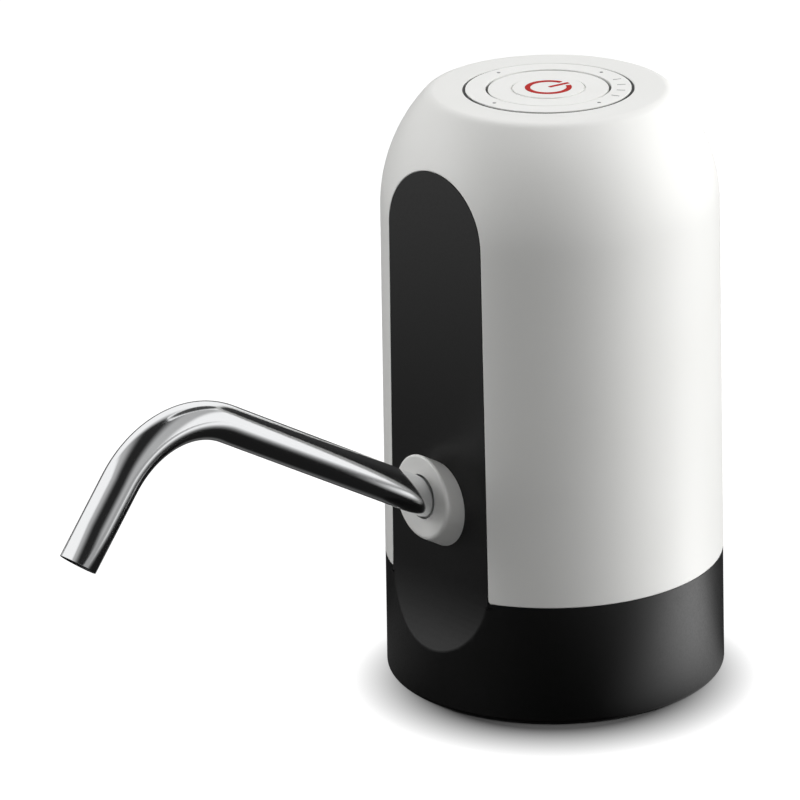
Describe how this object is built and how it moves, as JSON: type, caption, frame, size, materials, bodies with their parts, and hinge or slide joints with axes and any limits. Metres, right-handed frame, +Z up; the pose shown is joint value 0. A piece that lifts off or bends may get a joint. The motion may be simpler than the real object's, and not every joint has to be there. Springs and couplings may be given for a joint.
{
  "type": "electric water jug pump",
  "caption": "Rechargeable pump that sits on the neck of a large water bottle: domed shell on a black base, flat front panel, bent steel spout and a push button on top.",
  "frame": {"origin": "on the body's axis at the foot, where the bore for the bottle neck begins", "axes": "+Z up along the body's axis, -Y to the front where the spout points, +X to the right seen from the front"},
  "size_m": [0.074, 0.1705, 0.1306],
  "materials": {
    "shell_white": "satin moulded ABS",
    "base_black": "satin moulded ABS",
    "collar_white": "moulded plastic",
    "spout_steel": "polished stainless steel",
    "button_white": "satin moulded ABS",
    "icon_red": "moulded in colour",
    "seal_clear": "moulded silicone",
    "seal_black": "moulded rubber",
    "hose_clear": "extruded silicone",
    "screw_steel": "zinc-plated steel",
    "shaft_steel": "ground steel",
    "motor_steel": "nickel-plated steel",
    "inner_plastic": "moulded plastic",
    "gear_plastic": "moulded acetal",
    "gasket_red": "cut sheet",
    "bush_bronze": "sintered bronze",
    "magnet_grey": "sintered ferrite",
    "armature_copper": "wound copper on laminated steel",
    "cell_wrap": "shrink-wrapped steel can",
    "pad_foam": "cut foam",
    "board_green": "solder mask",
    "chip_black": "moulded epoxy",
    "led_clear": "moulded epoxy",
    "lens_clear": "moulded acrylic",
    "wire_red": "insulated copper wire",
    "wire_black": "insulated copper wire",
    "wire_white": "insulated copper wire"
  },
  "bodies": {
    "housing": {"outer_shell": "shell_white", "base_body": "base_black", "socket_cup": "base_black", "neck_seal": "seal_clear", "hose_nipple": "base_black", "nipple_nut": "base_black", "base_screws": "screw_steel", "outlet_fitting": "collar_white", "fitting_nut": "base_black", "outlet_hose": "hose_clear", "pump_cover": "inner_plastic", "inlet_seal": "seal_black", "pump_gasket": "gasket_red", "pump_housing": "inner_plastic", "idler_pin": "shaft_steel", "shaft_seal": "seal_black", "pump_screws": "screw_steel", "motor_can": "motor_steel", "motor_end_cap": "base_black", "motor_bushes": "bush_bronze", "motor_magnets": "magnet_grey", "motor_terminals": "bush_bronze", "inner_frame": "inner_plastic", "battery_cell": "cell_wrap", "cell_pad": "pad_foam", "control_board": "board_green", "board_chips": "chip_black", "usb_socket": "motor_steel", "charge_led": "led_clear", "charge_lens": "lens_clear", "board_screws": "screw_steel", "switch_board": "board_green", "tact_switch": "chip_black", "button_leds": "led_clear", "switch_screws": "screw_steel", "button_bezel": "button_white", "battery_leads": "wire_red", "motor_leads": "wire_black", "switch_leads": "wire_white"},
    "button": {"button_cap": "button_white", "power_icon": "icon_red", "switch_plunger": "button_white"},
    "spout_grip": {"spout_seals": "seal_black"},
    "spout": {"spout_tube": "spout_steel"},
    "rotor": {"motor_armature": "armature_copper", "motor_shaft": "shaft_steel", "drive_gear": "gear_plastic"},
    "idler": {"idler_gear": "gear_plastic"}
  },
  "joints": [
    {"name": "button_press", "type": "slide", "parent": "housing", "child": "button", "axis": [0, 0, -1], "range_m": [0, 0.0007], "stiffness_N_per_m": 2500},
    {"name": "spout_swivel", "type": "hinge", "parent": "housing", "child": "spout_grip", "pos_m": [0, -0.03341, 0.04555], "axis": [0, -0.8643, 0.503], "continuous": true},
    {"name": "spout_pull", "type": "slide", "parent": "spout_grip", "child": "spout", "axis": [0, -0.8643, 0.503], "range_m": [0, 0.03]},
    {"name": "rotor_spin", "type": "hinge", "parent": "housing", "child": "rotor", "pos_m": [0.0036, 0.00482, 0.05], "axis": [0, 0, 1], "continuous": true},
    {"name": "idler_spin", "type": "hinge", "parent": "housing", "child": "idler", "pos_m": [0.0036, -0.00482, 0.038], "axis": [0, 0, 1], "continuous": true}
  ],
  "couplings": [
    {"joint": "idler_spin", "follows": "rotor_spin", "ratio": -1}
  ]
}
